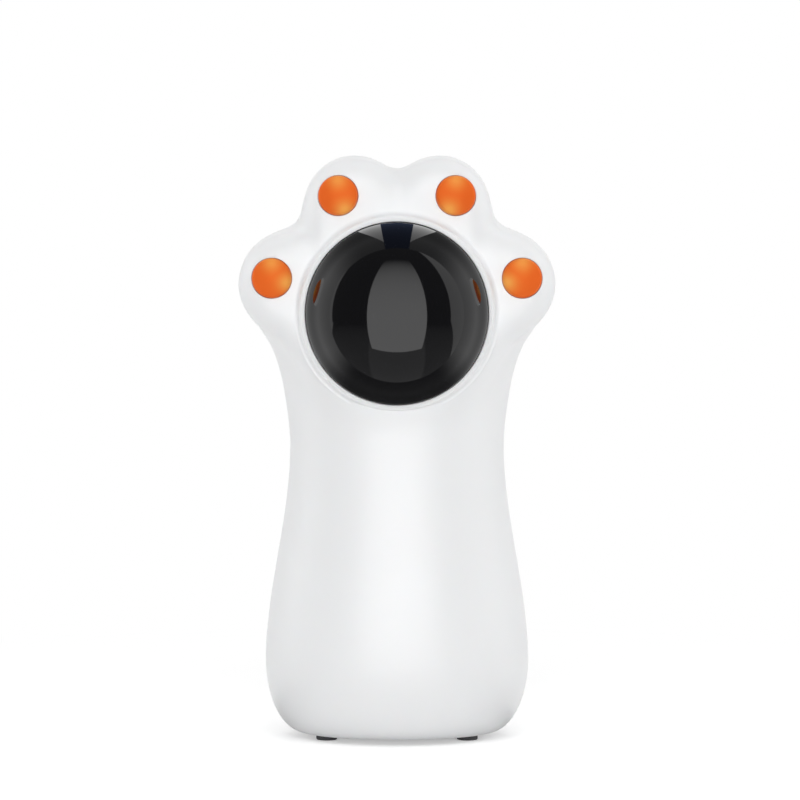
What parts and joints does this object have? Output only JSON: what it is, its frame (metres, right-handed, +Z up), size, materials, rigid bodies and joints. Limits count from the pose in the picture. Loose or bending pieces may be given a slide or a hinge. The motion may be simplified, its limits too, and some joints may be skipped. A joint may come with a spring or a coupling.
{
  "type": "automatic cat laser toy",
  "caption": "Free-standing cat-paw shaped laser toy: white two-part housing, black dome over a pan and tilt laser head, orange toe beans, rubber feet, rear charging port and power button.",
  "frame": {"origin": "on the floor, in the middle of the toy's width and depth", "axes": "+Z up, front (dome side) towards -Y, +X to the right as seen from the front"},
  "size_m": [0.0806, 0.0788, 0.1495],
  "materials": {
    "white_abs": "satin moulded ABS, white",
    "tinted_dome": "glossy tinted acrylic, near black",
    "orange_bean": "satin moulded ABS, orange",
    "grey_rubber": "moulded rubber",
    "black_abs": "moulded ABS, black",
    "acetal": "moulded acetal, natural",
    "steel": "zinc-plated steel",
    "motor_can": "drawn steel can",
    "brass": "turned brass",
    "lens_glass": "clear moulded lens",
    "clear_pipe": "clear polycarbonate",
    "board_green": "solder-masked glass-epoxy",
    "chip_black": "moulded epoxy",
    "connector_white": "moulded nylon",
    "cell_wrap": "shrink-wrapped film",
    "lead_pvc": "PVC-insulated wire"
  },
  "bodies": {
    "housing": {"front_shell": "white_abs", "rear_shell": "white_abs", "base_plate": "white_abs", "laser_dome": "tinted_dome", "dome_retainer": "black_abs", "retainer_screws": "steel", "toe_bean_left_outer": "orange_bean", "toe_bean_left_inner": "orange_bean", "toe_bean_right_inner": "orange_bean", "toe_bean_right_outer": "orange_bean", "foot_front_left": "grey_rubber", "foot_front_right": "grey_rubber", "foot_rear_left": "grey_rubber", "foot_rear_right": "grey_rubber", "chassis": "black_abs", "chassis_screws": "steel", "shell_screws": "steel", "base_screws": "steel", "battery_cell": "cell_wrap", "cell_tab_top": "steel", "cell_tab_bottom": "steel", "main_board": "board_green", "board_screws": "steel", "controller_chip": "chip_black", "charger_chip": "chip_black", "inductor": "chip_black", "capacitor": "motor_can", "battery_connector": "connector_white", "motor_header": "connector_white", "usb_c_shell": "steel", "usb_c_tongue": "chip_black", "indicator_led": "connector_white", "light_pipe": "clear_pipe", "switch_body": "chip_black", "battery_leads": "lead_pvc", "pan_motor_leads": "lead_pvc", "pan_motor": "motor_can", "pan_motor_screws": "steel", "pivot_washer": "steel", "pivot_screw": "steel"},
    "turret": {"turntable": "acetal", "tilt_yoke": "black_abs", "yoke_screws": "steel", "tilt_motor": "motor_can", "tilt_motor_clip": "steel"},
    "pan_drive": {"pan_pinion": "acetal"},
    "laser_head": {"laser_cradle": "black_abs", "laser_barrel": "brass", "laser_lens": "lens_glass", "lens_ring": "brass", "laser_board": "board_green", "laser_diode": "motor_can"},
    "tilt_drive": {"tilt_pinion": "acetal"},
    "button": {"power_button": "white_abs", "switch_plunger": "chip_black"}
  },
  "joints": [
    {"name": "pan", "type": "hinge", "parent": "housing", "child": "turret", "pos_m": [0, 0.00042, 0.0872], "axis": [0, 0, 1], "range_deg": [-40, 40]},
    {"name": "pan_drive_spin", "type": "hinge", "parent": "housing", "child": "pan_drive", "pos_m": [0, 0.01303, 0.0872], "axis": [0, 0, 1], "range_deg": [-100, 100]},
    {"name": "tilt", "type": "hinge", "parent": "turret", "child": "laser_head", "pos_m": [0, 0.00042, 0.1107], "axis": [1, 0, 0], "range_deg": [-15, 30]},
    {"name": "tilt_drive_spin", "type": "hinge", "parent": "turret", "child": "tilt_drive", "pos_m": [0, 0.00042, 0.0993], "axis": [1, 0, 0], "range_deg": [-84, 42]},
    {"name": "power_press", "type": "slide", "parent": "housing", "child": "button", "axis": [0, -1, 0], "range_m": [0, 0.0005], "stiffness_N_per_m": 400}
  ],
  "couplings": [
    {"joint": "pan_drive_spin", "follows": "pan", "ratio": -2.5},
    {"joint": "tilt_drive_spin", "follows": "tilt", "ratio": -2.8}
  ]
}
